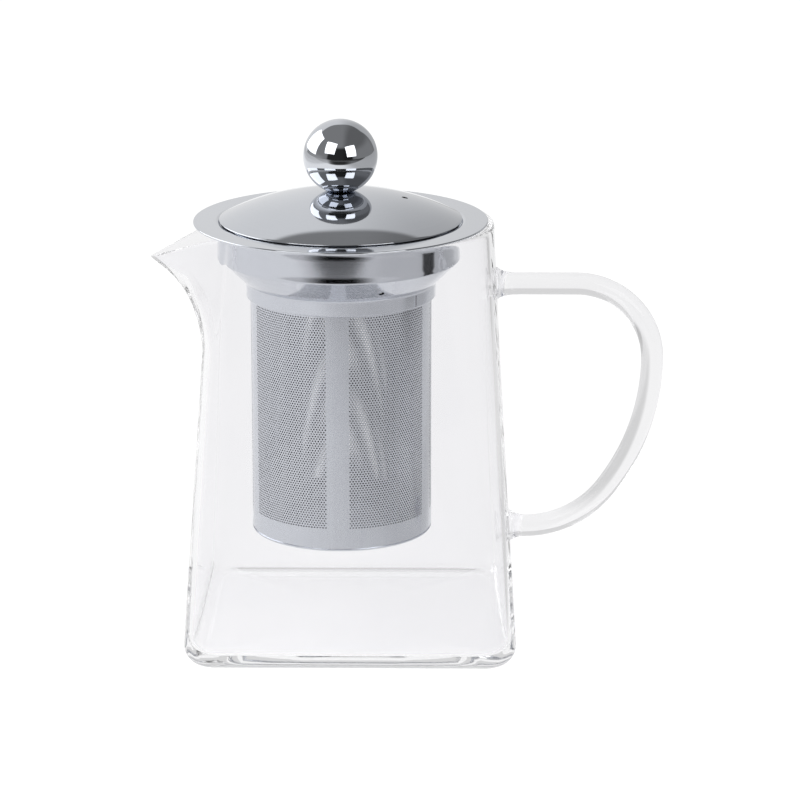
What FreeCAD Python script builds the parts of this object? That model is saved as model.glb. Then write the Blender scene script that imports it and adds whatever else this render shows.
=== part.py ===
import FreeCAD, Part
import math
import os

# Glass teapot with a hanging steel strainer, a domed lid and a ball knob.
# Millimetres, +Z up, origin on the table at the middle of the foot.
# The spout points to -X and the handle to +X.

# Glass pot
foot_width = 90.4
foot_corner_radius = 9.0
foot_edge_radius = 5.5
rim_height = 113.8
neck_diameter = 77.2
glass_wall = 2.2
glass_floor = 3.2
floor_edge_radius = 4.0
neck_side_angle = 20.0

# Pouring beak, pulled out of the neck
beak_reach = 55.2
beak_drop = 9.6
beak_lip_slope = 23.5
beak_keel_slope = 38.0
beak_half_angle = 38.0
beak_tip_depth = 2.3
beak_tip_half_width = 1.0
beak_tip_wall = 0.9
beak_groove_end = 0.4
beak_root_inset = 8.6

# Rod handle, welded to the side of the pot
rod_diameter = 6.0
handle_top_height = 96.6
handle_low_height = 27.5
handle_reach = 82.1
handle_upper_bend = 21.0
handle_grip_radius = 61.5
handle_grip_turn = 37.0
weld_pad_diameter = 8.4
weld_pad_length = 3.0

# Strainer collar, which hangs on the rim of the neck
collar_sheet = 0.6
flange_overhang = 1.4
neck_to_well_gap = 4.0
strainer_shift = -3.0
well_bend_radius = 2.1
well_depth = 10.0
funnel_angle = 45.0
socket_height = 4.0
socket_wall = 1.1
drain_hole_diameter = 1.5
drain_hole_angle = -62.0

# Perforated sleeve and its bottom
sleeve_diameter = 49.4
sleeve_sheet = 0.4
sleeve_length = 68.9
sleeve_fit = 0.05
field_count = 5
front_strip_angle = -94.9
plain_strip_angle = 13.6
top_band = 5.2
bottom_band = 6.4
hole_diameter = 1.7
hole_pitch = 4.2
bottom_plate_sheet = 0.9
bottom_plate_spigot = 3.0
spigot_sheet = 0.6

# Lid
lid_edge_gap = 0.9
lid_seat_gap = 0.3
lid_sheet = 0.7
lid_dome_radius = 75.0
hem_height = 0.3
hem_width = 2.9
skirt_sheet = 0.6
skirt_gap = 0.6
skirt_depth = 6.0
vent_diameter = 2.0
vent_radius = 17.4
vent_angle = 0.0

# Ball knob
ball_diameter = 20.2
ball_seat_diameter = 8.0
ball_seat_gap = 0.1
screw_diameter = 4.0
screw_head_diameter = 7.0
screw_head_height = 2.2
screw_socket_diameter = 2.5
screw_socket_depth = 1.3
screw_depth_in_ball = 8.0
screw_clearance = 0.15
washer_diameter = 9.0
washer_thickness = 0.8

# Sizes that follow from the ones above
neck_radius = neck_diameter / 2
neck_bore_radius = neck_radius - glass_wall
well_outer_radius = neck_bore_radius - neck_to_well_gap
well_inner_radius = well_outer_radius - collar_sheet
flange_radius = neck_radius + flange_overhang
flange_top = rim_height + collar_sheet
flange_inner_radius = well_inner_radius + well_bend_radius
sleeve_radius = sleeve_diameter / 2
socket_inner_radius = sleeve_radius + sleeve_fit
socket_outer_radius = socket_inner_radius + socket_wall
well_fold_height = flange_top - well_depth
fold_offset = collar_sheet * math.tan(math.radians(funnel_angle / 2))
funnel_drop = (well_outer_radius - socket_outer_radius) * math.tan(math.radians(funnel_angle))
socket_top = well_fold_height - fold_offset - funnel_drop
socket_bottom = socket_top - socket_height
sleeve_top = socket_top
sleeve_bottom = sleeve_top - sleeve_length
lid_radius = flange_inner_radius - lid_edge_gap
shoulder_height = flange_top - well_bend_radius
hem_bottom = shoulder_height + math.sqrt(well_bend_radius ** 2 - lid_edge_gap ** 2) + lid_seat_gap
hem_top = hem_bottom + hem_height
beak_root = neck_radius - beak_root_inset
beak_tip_height = rim_height - beak_drop
ball_radius = ball_diameter / 2
screw_bore_radius = screw_diameter / 2 + screw_clearance


def point(x, y, z):
    """A point in space."""
    return FreeCAD.Vector(x, y, z)


def on_section(radius, height):
    """A point of a turned profile, given by its radius and height."""
    return point(radius, 0, height)


def line(start, end):
    """A straight edge."""
    return Part.makeLine(start, end)


def arc(start, middle, end):
    """A circular edge through three points."""
    return Part.Arc(start, middle, end).toShape()


def turned(edges):
    """The solid that a closed profile sweeps in one turn about the vertical axis."""
    face = Part.Face(Part.Wire(edges))
    solid = face.revolve(point(0, 0, 0), point(0, 0, 1), 360)
    if solid.Volume < 0:
        solid.reverse()
    return solid


def turned_outline(corners):
    """A turned solid from the corners of a straight-sided profile."""
    points = [on_section(radius, height) for radius, height in corners]
    closed = points + points[:1]
    edges = [line(start, end) for start, end in zip(closed, closed[1:])]
    return turned(edges)


def ring(outer_radius, inner_radius, bottom, top):
    """A plain ring, or a disc where the inner radius is zero."""
    tube = Part.makeCylinder(outer_radius, top - bottom, point(0, 0, bottom))
    if inner_radius > 0:
        tube = tube.cut(Part.makeCylinder(inner_radius, top - bottom, point(0, 0, bottom)))
    return tube


def on_strainer_axis(shape):
    """A piece moved from the pot's axis to the axis on which the strainer hangs."""
    return shape.translated(point(strainer_shift, 0, 0))


def pot_half_width(height):
    """Half the pot's width at a height: its sides run straight from the foot to the rim."""
    share = height / rim_height
    return foot_width / 2 * (1 - share) + neck_radius * share


def rounded_square(half_width, corner_radius, height):
    """A square with round corners, as four sides and four arcs, starting at the +X side."""
    straight = half_width - corner_radius
    inward = corner_radius * (1 - math.sqrt(0.5))
    edges = []
    for quarter in range(4):
        turn = FreeCAD.Rotation(point(0, 0, 1), 90 * quarter)
        low = turn.multVec(point(half_width, -straight, height))
        high = turn.multVec(point(half_width, straight, height))
        corner = turn.multVec(point(half_width - inward, half_width - inward, height))
        far = turn.multVec(point(straight, half_width, height))
        edges.append(line(low, high))
        edges.append(arc(high, corner, far))
    return Part.Wire(edges)


def split_circle(radius, height):
    """A circle as eight arcs: four short ones over the flat sides, four long ones over the corners."""
    half_side = neck_side_angle / 2

    def at(angle):
        rad = math.radians(angle)
        return point(radius * math.cos(rad), radius * math.sin(rad), height)

    edges = []
    for quarter in range(4):
        middle = 90 * quarter
        edges.append(arc(at(middle - half_side), at(middle), at(middle + half_side)))
        edges.append(arc(at(middle + half_side), at(middle + 45), at(middle + 90 - half_side)))
    return Part.Wire(edges)


def square_to_round(inset, bottom, corner_radius):
    """The pot's form, drawn in by an inset, from a rounded square at the bottom to a round rim."""
    foot = rounded_square(pot_half_width(bottom) - inset, corner_radius, bottom)
    rim = split_circle(neck_radius - inset, rim_height)
    return Part.makeLoft([foot, rim], True, True)


def edges_at_height(shape, height):
    """The edges that lie level at a height."""
    tolerance = 1e-4
    level = []
    for edge in shape.Edges:
        box = edge.BoundBox
        if abs(box.ZMin - height) < tolerance and abs(box.ZMax - height) < tolerance:
            level.append(edge)
    return level


def beak_section(distance, half_width, depth, lip, top):
    """A U across the beak: half an ellipse below the lip, with straight sides up to the top."""
    half_circle = Part.makeCircle(1, point(0, 0, 0), point(1, 0, 0), 180, 360)
    stretch = FreeCAD.Matrix()
    stretch.scale(1, half_width, depth)
    bowl = half_circle.transformGeometry(stretch).translated(point(-distance, 0, lip))
    near = point(-distance, -half_width, lip)
    far = point(-distance, half_width, lip)
    if top <= lip:
        return Part.Wire([bowl, line(far, near)])
    far_top = point(-distance, half_width, top)
    near_top = point(-distance, -half_width, top)
    sides = [line(far, far_top), line(far_top, near_top), line(near_top, near)]
    return Part.Wire([bowl] + sides)


def beak_form(tip_distance, tip_half_width, tip_depth, side_inset, keel_inset, top):
    """The beak as a tapering U from inside the neck to its tip."""
    lip_rise = math.tan(math.radians(beak_lip_slope))
    keel_fall = math.tan(math.radians(beak_keel_slope))
    spread = math.tan(math.radians(beak_half_angle))
    run = beak_reach - beak_root
    root_half_width = beak_tip_half_width + run * spread - side_inset
    root_depth = beak_tip_depth + run * (lip_rise + keel_fall) - keel_inset
    root_lip = beak_tip_height + run * lip_rise
    tip_lip = beak_tip_height + (beak_reach - tip_distance) * lip_rise
    root = beak_section(beak_root, root_half_width, root_depth, root_lip, top)
    tip = beak_section(tip_distance, tip_half_width, tip_depth, tip_lip, top)
    return Part.makeLoft([root, tip], True, True)


def beak_outside():
    """The outside of the beak, cut level with the rim."""
    form = beak_form(beak_reach, beak_tip_half_width, beak_tip_depth, 0, 0, 0)
    size = 2 * beak_reach
    below_rim = Part.makeBox(size, size, rim_height, point(-size, -size / 2, 0))
    return form.common(below_rim)


def beak_groove():
    """The channel that the tea runs along, open at the top."""
    side_inset = glass_wall / math.cos(math.radians(beak_half_angle))
    keel_inset = glass_wall / math.cos(math.radians(beak_keel_slope))
    end = beak_groove_end
    top = rim_height + beak_reach
    return beak_form(beak_reach - beak_tip_wall, end, end, side_inset, keel_inset, top)


def pot_outside():
    """The pot's outer form as a full solid, with a rounded foot."""
    form = square_to_round(0, 0, foot_corner_radius)
    return form.makeFillet(foot_edge_radius, edges_at_height(form, 0))


def pot_inside():
    """The space inside the pot, with a rounded floor edge."""
    form = square_to_round(glass_wall, glass_floor, foot_corner_radius - glass_wall)
    return form.makeFillet(floor_edge_radius, edges_at_height(form, glass_floor))


def glass_body():
    """The blown pot: square foot, round neck and the pulled beak."""
    pot = pot_outside().fuse(beak_outside())
    pot = pot.cut(pot_inside())
    pot = pot.cut(beak_groove())
    return pot.removeSplitter()


def turn_point(start, heading, radius, turn):
    """Follow a clockwise arc in the XZ plane: its middle, its end and the heading there."""

    def at(angle):
        centre_x = start.x + radius * math.sin(heading)
        centre_z = start.z - radius * math.cos(heading)
        across = math.sin(heading - angle)
        along = math.cos(heading - angle)
        return point(centre_x - radius * across, 0, centre_z + radius * along)

    return at(turn / 2), at(turn), heading - turn


def handle_path():
    """The rod's centre line: out from the neck, round the grip and back to the side of the pot."""
    inside_wall = neck_bore_radius
    start = point(inside_wall, 0, handle_top_height)
    first = point(handle_reach - handle_upper_bend, 0, handle_top_height)
    middle, second, heading = turn_point(first, 0, handle_upper_bend, math.radians(90))
    edges = [line(start, first), arc(first, middle, second)]
    middle, third, heading = turn_point(second, heading, handle_grip_radius, math.radians(handle_grip_turn))
    edges.append(arc(second, middle, third))
    last_turn = math.pi + heading
    low_bend = (third.z - handle_low_height) / (1 - math.cos(last_turn))
    middle, fourth, heading = turn_point(third, heading, low_bend, last_turn)
    edges.append(arc(third, middle, fourth))
    edges.append(line(fourth, point(inside_wall, 0, handle_low_height)))
    return Part.Wire(edges)


def weld_pad(height):
    """The flare where the rod is melted onto the wall."""
    wall_at = pot_half_width(height)
    rooted = wall_at - glass_wall
    length = glass_wall + weld_pad_length
    root = point(rooted, 0, height)
    return Part.makeCone(weld_pad_diameter / 2, rod_diameter / 2, length, root, point(1, 0, 0))


def glass_handle():
    """The bent glass rod with a flare at each end, ending on the outside of the pot."""
    path = handle_path()
    start = path.Edges[0].valueAt(path.Edges[0].FirstParameter)
    section = Part.Wire(Part.makeCircle(rod_diameter / 2, start, point(1, 0, 0)))
    rod = path.makePipeShell([section], True, False)
    rod = rod.fuse([weld_pad(handle_top_height), weld_pad(handle_low_height)])
    return rod.cut(pot_outside()).removeSplitter()


def strainer_collar():
    """The drawn collar: flange, well, funnel and the socket that holds the sleeve."""
    upper_bend = well_bend_radius * math.sqrt(0.5)
    lower_radius = well_bend_radius - collar_sheet
    lower_bend = lower_radius * math.sqrt(0.5)
    funnel_run = well_inner_radius - socket_inner_radius
    inner_socket_top = well_fold_height - funnel_run * math.tan(math.radians(funnel_angle))
    top_points = [
        on_section(flange_radius, flange_top),
        on_section(flange_inner_radius, flange_top),
        on_section(flange_inner_radius - upper_bend, shoulder_height + upper_bend),
        on_section(well_inner_radius, shoulder_height),
        on_section(well_inner_radius, well_fold_height),
        on_section(socket_inner_radius, inner_socket_top),
        on_section(socket_inner_radius, socket_bottom),
    ]
    low_points = [
        on_section(socket_outer_radius, socket_bottom),
        on_section(socket_outer_radius, socket_top),
        on_section(well_outer_radius, well_fold_height - fold_offset),
        on_section(well_outer_radius, shoulder_height),
        on_section(flange_inner_radius - lower_bend, shoulder_height + lower_bend),
        on_section(flange_inner_radius, rim_height),
        on_section(flange_radius, rim_height),
    ]
    outline = [
        line(top_points[0], top_points[1]),
        arc(top_points[1], top_points[2], top_points[3]),
        line(top_points[3], top_points[4]),
        line(top_points[4], top_points[5]),
        line(top_points[5], top_points[6]),
        line(top_points[6], low_points[0]),
        line(low_points[0], low_points[1]),
        line(low_points[1], low_points[2]),
        line(low_points[2], low_points[3]),
        arc(low_points[3], low_points[4], low_points[5]),
        line(low_points[5], low_points[6]),
        line(low_points[6], top_points[0]),
    ]
    collar = turned(outline)
    drain_radius = drain_hole_diameter / 2
    drain = Part.makeCylinder(drain_radius, neck_radius, drain_hole_centre(), drain_hole_axis())
    return on_strainer_axis(collar.cut(drain))


def drain_hole_axis():
    """The direction of the drain hole, square to the funnel and pointing out of it."""
    slope = math.radians(90 - funnel_angle)
    side = math.radians(drain_hole_angle)
    return point(math.cos(side) * math.cos(slope), math.sin(side) * math.cos(slope), -math.sin(slope))


def drain_hole_centre():
    """A point on the strainer's side of the drain hole, so that it cuts only the funnel."""
    middle_radius = (well_inner_radius + socket_outer_radius) / 2
    middle_height = (well_fold_height + socket_top) / 2
    side = math.radians(drain_hole_angle)
    on_funnel = point(middle_radius * math.cos(side), middle_radius * math.sin(side), middle_height)
    return on_funnel - drain_hole_axis() * (2 * collar_sheet)


def field_holes():
    """Rows of holes in one field of the sleeve, every other row set over by half a pitch."""
    field_angle = 360 / field_count - plain_strip_angle
    hole_angle = math.degrees(hole_pitch / sleeve_radius)
    columns = int(field_angle / hole_angle)
    row_pitch = hole_pitch * math.sqrt(0.75)
    field_bottom = sleeve_bottom + bottom_band + hole_diameter / 2
    field_top = sleeve_top - top_band - hole_diameter / 2
    rows = int((field_top - field_bottom) / row_pitch) + 1
    holes = []
    for row in range(rows):
        staggered = row % 2
        row_height = point(0, 0, field_bottom + row * row_pitch)
        for column in range(columns - staggered):
            offset = column - (columns - staggered - 1) / 2
            angle = math.radians(180 / field_count + offset * hole_angle)
            outward = point(math.cos(angle), math.sin(angle), 0)
            start = outward * (sleeve_radius - 2 * sleeve_sheet) + row_height
            holes.append(Part.makeCylinder(hole_diameter / 2, 3 * sleeve_sheet, start, outward))
    return holes


def strainer_sleeve():
    """The perforated tube: one field with half a plain strip on each side, repeated round the axis."""
    section = Part.makePolygon([
        on_section(sleeve_radius - sleeve_sheet, sleeve_bottom),
        on_section(sleeve_radius, sleeve_bottom),
        on_section(sleeve_radius, sleeve_top),
        on_section(sleeve_radius - sleeve_sheet, sleeve_top),
        on_section(sleeve_radius - sleeve_sheet, sleeve_bottom),
    ])
    share = 360 / field_count
    field = Part.Face(section).revolve(point(0, 0, 0), point(0, 0, 1), share)
    field = field.cut(field_holes())
    fields = []
    for index in range(field_count):
        turned_field = field.copy()
        turned_field.rotate(point(0, 0, 0), point(0, 0, 1), front_strip_angle + share * index)
        fields.append(turned_field)
    return on_strainer_axis(fields[0].fuse(fields[1:]))


def strainer_bottom():
    """The plate that closes the sleeve, with a spigot inside the tube."""
    spigot_radius = sleeve_radius - sleeve_sheet - sleeve_fit
    plate_bottom = sleeve_bottom - bottom_plate_sheet
    spigot_top = sleeve_bottom + bottom_plate_spigot
    plate = turned_outline([
        (0, plate_bottom),
        (sleeve_radius, plate_bottom),
        (sleeve_radius, sleeve_bottom),
        (spigot_radius, sleeve_bottom),
        (spigot_radius, spigot_top),
        (spigot_radius - spigot_sheet, spigot_top),
        (spigot_radius - spigot_sheet, sleeve_bottom),
        (0, sleeve_bottom),
    ])
    return on_strainer_axis(plate)


def dome_centre_height():
    """The height of the centre of the lid's dome."""
    return hem_top - math.sqrt(lid_dome_radius ** 2 - lid_radius ** 2)


def dome_height(radius, inset):
    """The height of the lid's dome at a radius, drawn in by an inset."""
    return dome_centre_height() + math.sqrt((lid_dome_radius - inset) ** 2 - radius ** 2)


def on_dome(radius, inset):
    """A point of the dome's profile."""
    return on_section(radius, dome_height(radius, inset))


def dome_arc(reach, inset):
    """The arc of the dome from the middle to a reach, drawn in by an inset."""
    return arc(on_dome(0, inset), on_dome(reach / 2, inset), on_dome(reach, inset))


def lid_cover():
    """The domed lid with its folded hem, the screw hole and the steam vent."""
    hem_inside = lid_radius - hem_width
    outer_corner = on_section(lid_radius, hem_bottom)
    inner_corner = on_section(hem_inside, hem_bottom)
    cover = turned([
        dome_arc(lid_radius, 0),
        line(on_dome(lid_radius, 0), outer_corner),
        line(outer_corner, inner_corner),
        line(inner_corner, on_dome(hem_inside, lid_sheet)),
        dome_arc(hem_inside, lid_sheet),
        line(on_dome(0, lid_sheet), on_dome(0, 0)),
    ])
    drill_start = hem_bottom - lid_sheet
    drill_length = dome_height(0, 0) + lid_sheet - drill_start
    bore = Part.makeCylinder(screw_bore_radius, drill_length, point(0, 0, drill_start))
    side = math.radians(vent_angle)
    vent_base = point(vent_radius * math.cos(side), vent_radius * math.sin(side), drill_start)
    vent = Part.makeCylinder(vent_diameter / 2, drill_length, vent_base)
    return on_strainer_axis(cover.cut([bore, vent]))


def lid_skirt():
    """The ring under the lid that centres it in the well."""
    outer_radius = well_inner_radius - skirt_gap
    inner_radius = outer_radius - skirt_sheet
    return on_strainer_axis(ring(outer_radius, inner_radius, hem_bottom - skirt_depth, hem_bottom))


def ball_seat_height():
    """The height of the flat face on which the ball stands on the lid."""
    return dome_height(0, 0) + ball_seat_gap


def knob_ball():
    """The polished ball, cut flat where it stands, with a blind hole for the screw."""
    seat = ball_seat_height()
    centre = seat + math.sqrt(ball_radius ** 2 - (ball_seat_diameter / 2) ** 2)
    ball = Part.makeSphere(ball_radius, point(0, 0, centre))
    below_seat = Part.makeCylinder(ball_radius, ball_radius, point(0, 0, seat - ball_radius))
    hole_depth = screw_depth_in_ball + screw_clearance
    hole = Part.makeCylinder(screw_bore_radius, hole_depth, point(0, 0, seat))
    return on_strainer_axis(ball.cut([below_seat, hole]))


def washer_top():
    """The height of the washer's upper face, under the middle of the lid."""
    return dome_height(washer_diameter / 2, lid_sheet) - screw_clearance


def knob_washer():
    """The flat washer between the lid and the screw's head."""
    bottom = washer_top() - washer_thickness
    return on_strainer_axis(ring(washer_diameter / 2, screw_bore_radius, bottom, washer_top()))


def knob_screw():
    """The screw that holds the ball on the lid, with a six-sided key socket."""
    head_top = washer_top() - washer_thickness
    head_bottom = head_top - screw_head_height
    shank_top = ball_seat_height() + screw_depth_in_ball
    head = ring(screw_head_diameter / 2, 0, head_bottom, head_top)
    shank = ring(screw_diameter / 2, 0, head_top, shank_top)
    corner_radius = screw_socket_diameter / math.sqrt(3)
    corners = []
    for side in range(7):
        angle = math.radians(60 * side)
        corners.append(point(corner_radius * math.cos(angle), corner_radius * math.sin(angle), head_bottom))
    socket = Part.Face(Part.makePolygon(corners)).extrude(point(0, 0, screw_socket_depth))
    return on_strainer_axis(head.fuse(shank).cut(socket).removeSplitter())


def main():
    """Build every piece and write each to its own file."""
    os.makedirs("parts", exist_ok=True)
    pieces = {
        "glass_body": glass_body,
        "glass_handle": glass_handle,
        "strainer_collar": strainer_collar,
        "strainer_sleeve": strainer_sleeve,
        "strainer_bottom": strainer_bottom,
        "lid_cover": lid_cover,
        "lid_skirt": lid_skirt,
        "knob_ball": knob_ball,
        "knob_screw": knob_screw,
        "knob_washer": knob_washer,
    }
    for name, build in pieces.items():
        shape = build()
        box = shape.BoundBox
        print(name, "solids", len(shape.Solids), "valid", shape.isValid(), "volume", round(shape.Volume, 1),
              "z", round(box.ZMin, 2), round(box.ZMax, 2))
        shape.exportStep("parts/" + name + ".step")


main()
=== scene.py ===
import logging
import math
from dataclasses import dataclass, field
from enum import Enum
from typing import Dict, List, Sequence, Tuple, Union

import bpy
import numpy as np
from mathutils import Matrix, Vector


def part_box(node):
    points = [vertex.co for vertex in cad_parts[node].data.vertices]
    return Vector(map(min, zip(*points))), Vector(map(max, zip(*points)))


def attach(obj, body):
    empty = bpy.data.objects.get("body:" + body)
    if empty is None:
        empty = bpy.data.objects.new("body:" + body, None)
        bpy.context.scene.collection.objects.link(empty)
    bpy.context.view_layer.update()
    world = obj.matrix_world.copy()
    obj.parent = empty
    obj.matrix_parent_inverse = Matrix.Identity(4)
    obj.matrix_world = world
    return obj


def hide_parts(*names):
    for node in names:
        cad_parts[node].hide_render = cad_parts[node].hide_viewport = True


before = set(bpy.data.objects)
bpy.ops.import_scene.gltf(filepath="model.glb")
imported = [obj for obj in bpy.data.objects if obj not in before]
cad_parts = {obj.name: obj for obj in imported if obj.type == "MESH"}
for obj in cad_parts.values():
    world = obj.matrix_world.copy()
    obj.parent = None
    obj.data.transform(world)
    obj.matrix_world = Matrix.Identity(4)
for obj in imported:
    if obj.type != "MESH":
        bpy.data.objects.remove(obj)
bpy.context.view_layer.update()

# Glass teapot with a hanging steel strainer, a domed lid and a ball knob.
# Sizes of the pot are in millimetres; the studio's, like the meshes, are in metres.
# +Z is up and the beak points to -X.

MM = 0.001  # one millimetre in the meshes' metres
WELD = 2e-6  # points of a mesh closer than this, in metres, are merged
HOLD = 0.012  # how far a holding ring stands from its bend
CREASE = 32.0  # edges that turn by more than this, in degrees, stay sharp
Span = Tuple[float, float]
Triple = Tuple[float, float, float]
Outline = List[Span]
Corner = Triple
Colour = Triple
Face = Tuple[int, ...]
Inputs = Dict[Union[str, int], object]
LOG = logging.getLogger("teapot")


class Body(str, Enum):
    """The moving bodies of the frame."""

    POT = "pot"
    STRAINER = "strainer"
    LID = "lid"


class Slot(str, Enum):
    """The material slots of the record."""

    GLASS = "clear_glass"
    POLISHED = "polished_steel"
    STRAINER = "strainer_steel"
    MIRROR = "mirror_steel"
    FASTENER = "fastener_steel"


class Marks(Enum):
    """How the marks of the making run over a steel piece."""

    TURNED = "rings about the axis"
    DRAWN = "lines along the axis"


@dataclass(frozen=True)
class Room:
    """The box of a node of the frame, in millimetres."""

    low: Vector
    high: Vector

    @classmethod
    def of(cls, node: str) -> "Room":
        """The box of a node, by the node's name."""
        low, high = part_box(node)
        return cls(low / MM, high / MM)

    @property
    def axis(self) -> float:
        """The X of the middle."""
        return (self.low.x + self.high.x) / 2

    @property
    def radius(self) -> float:
        """Half the width along X."""
        return (self.high.x - self.low.x) / 2


# Shader maths


class Signal:
    """A socket that takes part in sums as a number does."""

    def __init__(self, shader: "Shader", socket: bpy.types.NodeSocket) -> None:
        """Wraps a socket of a shader."""
        self.shader = shader
        self.socket = socket

    def __add__(self, other: "Number") -> "Signal":
        """This plus another."""
        return self.shader.maths("ADD", self, other)

    def __radd__(self, other: "Number") -> "Signal":
        """Another plus this."""
        return self.shader.maths("ADD", other, self)

    def __sub__(self, other: "Number") -> "Signal":
        """This less another."""
        return self.shader.maths("SUBTRACT", self, other)

    def __rsub__(self, other: "Number") -> "Signal":
        """Another less this."""
        return self.shader.maths("SUBTRACT", other, self)

    def __mul__(self, other: "Number") -> "Signal":
        """This times another."""
        return self.shader.maths("MULTIPLY", self, other)

    def __rmul__(self, other: "Number") -> "Signal":
        """Another times this."""
        return self.shader.maths("MULTIPLY", other, self)

    def __truediv__(self, other: "Number") -> "Signal":
        """This over another."""
        return self.shader.maths("DIVIDE", self, other)

    def __rtruediv__(self, other: "Number") -> "Signal":
        """Another over this."""
        return self.shader.maths("DIVIDE", other, self)

    def __pow__(self, other: "Number") -> "Signal":
        """This to the power of another."""
        return self.shader.maths("POWER", self, other)


Number = Union[Signal, float]


@dataclass(frozen=True)
class Rise:
    """A smooth rise from 0 at its start to its height at its end."""

    start: float
    end: float
    height: float = 1.0


class Shader:
    """The nodes of one material or of the world."""

    def __init__(self, tree: bpy.types.NodeTree) -> None:
        """Takes over an empty tree."""
        self.tree = tree
        self.tree.nodes.clear()

    def add(self, kind: str, inputs: Inputs, **settings: object) -> bpy.types.Node:
        """Creates a node.

        Args:
            kind: The node's type.
            inputs: Values or signals by the input's name or number.
            settings: The node's own settings.

        Returns:
            The node.
        """
        node = self.tree.nodes.new(kind)
        for key, value in settings.items():
            setattr(node, key, value)
        for key, value in inputs.items():
            if isinstance(value, Signal):
                self.tree.links.new(value.socket, node.inputs[key])
            else:
                node.inputs[key].default_value = value
        return node

    def out(self, node: bpy.types.Node, output: Union[str, int] = 0) -> Signal:
        """One of a node's outputs, as a signal."""
        return Signal(self, node.outputs[output])

    def maths(self, operation: str, *terms: Number) -> Signal:
        """A sum of numbers and signals."""
        return self.out(self.add("ShaderNodeMath", dict(enumerate(terms)), operation=operation))

    def ramp(self, value: Number, rise: Rise) -> Signal:
        """The level of a rise along a value."""
        inputs = {"Value": value, "From Min": rise.start, "From Max": rise.end, "To Max": rise.height}
        return self.out(self.add("ShaderNodeMapRange", inputs, interpolation_type="SMOOTHSTEP"))

    def mixed(self, share: Number, first: Union[Signal, Colour], second: Union[Signal, Colour]) -> Signal:
        """A colour between two others."""
        first, second = (c if isinstance(c, Signal) else (*c, 1) for c in (first, second))
        return self.out(self.add("ShaderNodeMix", {0: share, 6: first, 7: second}, data_type="RGBA"), 2)

    def parts(self, vector: Signal) -> Tuple[Signal, Signal, Signal]:
        """The three numbers of a vector."""
        node = self.add("ShaderNodeSeparateXYZ", {0: vector})
        return self.out(node, 0), self.out(node, 1), self.out(node, 2)

    def place(self, output: str = "Object") -> Signal:
        """Where the shaded point is."""
        return self.out(self.add("ShaderNodeTexCoord", {}), output)

    def noise(self, place: Signal, size: float, detail: float) -> Signal:
        """Soft clouds of a size in millimetres, between 0 and 1."""
        inputs = {"Vector": place, "Scale": 1 / (size * MM), "Detail": detail}
        return self.out(self.add("ShaderNodeTexNoise", inputs))

    def lines(self, along: Signal, spacing: float, detail: float) -> Signal:
        """Uneven lines across one direction, between 0 and 1."""
        inputs = {"W": along, "Scale": 1 / (spacing * MM), "Detail": detail}
        return self.out(self.add("ShaderNodeTexNoise", inputs, noise_dimensions="1D"))

    def bump(self, height: Signal, strength: float, depth: float) -> Signal:
        """A normal from a height between 0 and 1, with the depth in millimetres."""
        inputs = {"Strength": strength, "Distance": depth * MM, "Height": height}
        return self.out(self.add("ShaderNodeBump", inputs))

    def ray(self, kind: str) -> Signal:
        """1 for rays of a kind."""
        return self.out(self.add("ShaderNodeLightPath", {}), kind)

    def surface(self, shader: Signal, output: str = "ShaderNodeOutputMaterial") -> None:
        """Ends the tree with a shader."""
        self.add(output, {"Surface": shader})


def fresh_material(name: str) -> Tuple[bpy.types.Material, Shader]:
    """Creates a material with an empty tree.

    Args:
        name: The material's name.

    Returns:
        The material and its shader.
    """
    material = bpy.data.materials.new(name)
    material.use_nodes = True
    return material, Shader(material.node_tree)


# Finishes


@dataclass(frozen=True)
class GlassFinish:
    """Clear blown glass with a faint ripple.

    The index is set below that of the real glass, so that a wall of even thickness shows as
    faint an edge as the thin blown wall does.
    """

    name: str
    tint: Colour = (0.995, 0.993, 1.0)
    edge_tint: Colour = (0.968, 0.967, 0.98)
    index: float = 1.2
    ripple_size: float = 34.0
    ripple_detail: float = 1.0
    ripple_depth: float = 0.25
    ripple_strength: float = 0.12

    def material(self) -> bpy.types.Material:
        """Builds the material.

        Returns:
            The material.
        """
        material, shader = fresh_material(self.name)
        clouds = shader.noise(shader.place(), self.ripple_size, self.ripple_detail)
        inputs = {
            "Base Color": shader.mixed(clouds, self.tint, self.edge_tint),
            "Roughness": 0.0,
            "IOR": self.index,
            "Transmission Weight": 1.0,
            "Normal": shader.bump(clouds, self.ripple_strength, self.ripple_depth),
        }
        shader.surface(shader.out(shader.add("ShaderNodeBsdfPrincipled", inputs)))
        return material


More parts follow.
